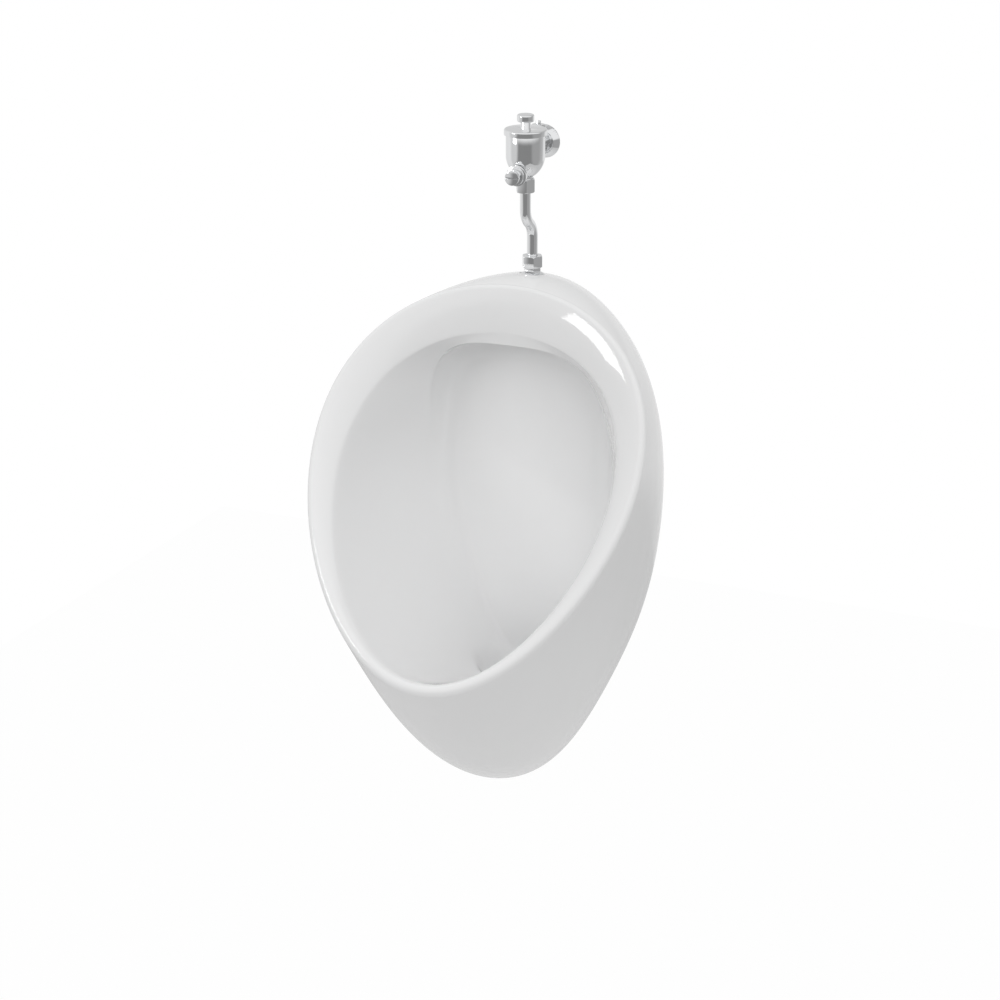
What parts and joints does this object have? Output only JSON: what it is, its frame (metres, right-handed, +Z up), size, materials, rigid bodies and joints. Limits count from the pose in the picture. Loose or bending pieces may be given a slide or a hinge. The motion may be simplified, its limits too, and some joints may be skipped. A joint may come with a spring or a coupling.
{
  "type": "wall-hung urinal",
  "caption": "Wall-hung white ceramic urinal with a leaning egg-shaped rim and an exposed chrome push-knob flush valve, bent flush pipe and integral trap.",
  "frame": {"origin": "centre of the waste outlet in the wall plane", "axes": "+Z up, +Y into the wall, -Y towards the user, X across, symmetric about X = 0"},
  "size_m": [0.4127, 0.3715, 0.8108],
  "materials": {
    "glaze": "gloss",
    "chrome": "polished",
    "brass": "machined",
    "rubber": "matt",
    "steel": "zinc plated",
    "strainer": "satin"
  },
  "bodies": {
    "fixture": {"ceramic_body": "glaze", "valve_body": "chrome", "valve_cap": "chrome", "flow_gland_nut": "chrome", "stop_gland_nut": "chrome", "outlet_union_nut": "chrome", "flush_pipe": "chrome", "flush_pipe_nut": "chrome", "spud_lock_nut": "chrome", "spud_flange": "chrome", "wall_flange": "chrome", "spud_tube": "brass", "rod_seal": "rubber", "cap_gasket": "rubber", "flow_screw_seal": "rubber", "stop_seal": "rubber", "union_washer": "rubber", "flush_pipe_seal": "rubber", "spud_sleeve": "rubber", "outlet_gasket": "rubber", "wall_hook_left": "steel", "wall_hook_right": "steel"},
    "flush_knob": {"push_knob": "chrome", "push_rod": "chrome"},
    "flush_piston": {"piston": "brass", "piston_seal": "rubber", "seat_packing": "rubber"},
    "relief": {"relief_pin": "brass", "relief_spring": "steel"},
    "flow_control": {"flow_plug": "brass"},
    "flow_head": {"flow_screw": "chrome"},
    "stop_gate": {"stop_disc": "brass"},
    "stop_screw": {"stop_spindle": "chrome"},
    "strainer": {"drain_strainer": "strainer"}
  },
  "joints": [
    {"name": "knob_press", "type": "slide", "parent": "fixture", "child": "flush_knob", "axis": [0, 0, -1], "range_m": [0, 0.005], "stiffness_N_per_m": 600, "springref_m": -0.004},
    {"name": "piston_lift", "type": "slide", "parent": "fixture", "child": "flush_piston", "axis": [0, 0, 1], "range_m": [0, 0.004]},
    {"name": "relief_open", "type": "slide", "parent": "flush_piston", "child": "relief", "axis": [0, 0, -1], "range_m": [0, 0.009], "deforming": ["relief_spring"]},
    {"name": "flow_travel", "type": "slide", "parent": "fixture", "child": "flow_control", "axis": [0, -1, 0], "range_m": [-0.0015, 0.0015]},
    {"name": "flow_turn", "type": "hinge", "parent": "flow_control", "child": "flow_head", "pos_m": [0, -0.091, 0.625], "axis": [0, -1, 0], "range_deg": [-360, 360]},
    {"name": "stop_travel", "type": "slide", "parent": "fixture", "child": "stop_gate", "axis": [0, 0, -1], "range_m": [0, 0.009]},
    {"name": "stop_turn", "type": "hinge", "parent": "stop_gate", "child": "stop_screw", "pos_m": [0, -0.018, 0.67], "axis": [0, 0, -1], "range_deg": [0, 2160]},
    {"name": "strainer_lift", "type": "slide", "parent": "fixture", "child": "strainer", "axis": [0, 0, 1], "range_m": [0, 0.08]}
  ],
  "couplings": [
    {"joint": "piston_lift", "follows": "knob_press", "ratio": 0.8},
    {"joint": "relief_open", "follows": "knob_press", "ratio": 1.8},
    {"joint": "flow_turn", "follows": "flow_travel", "rad_per_m": 4188.8},
    {"joint": "stop_turn", "follows": "stop_travel", "rad_per_m": 4188.8}
  ]
}
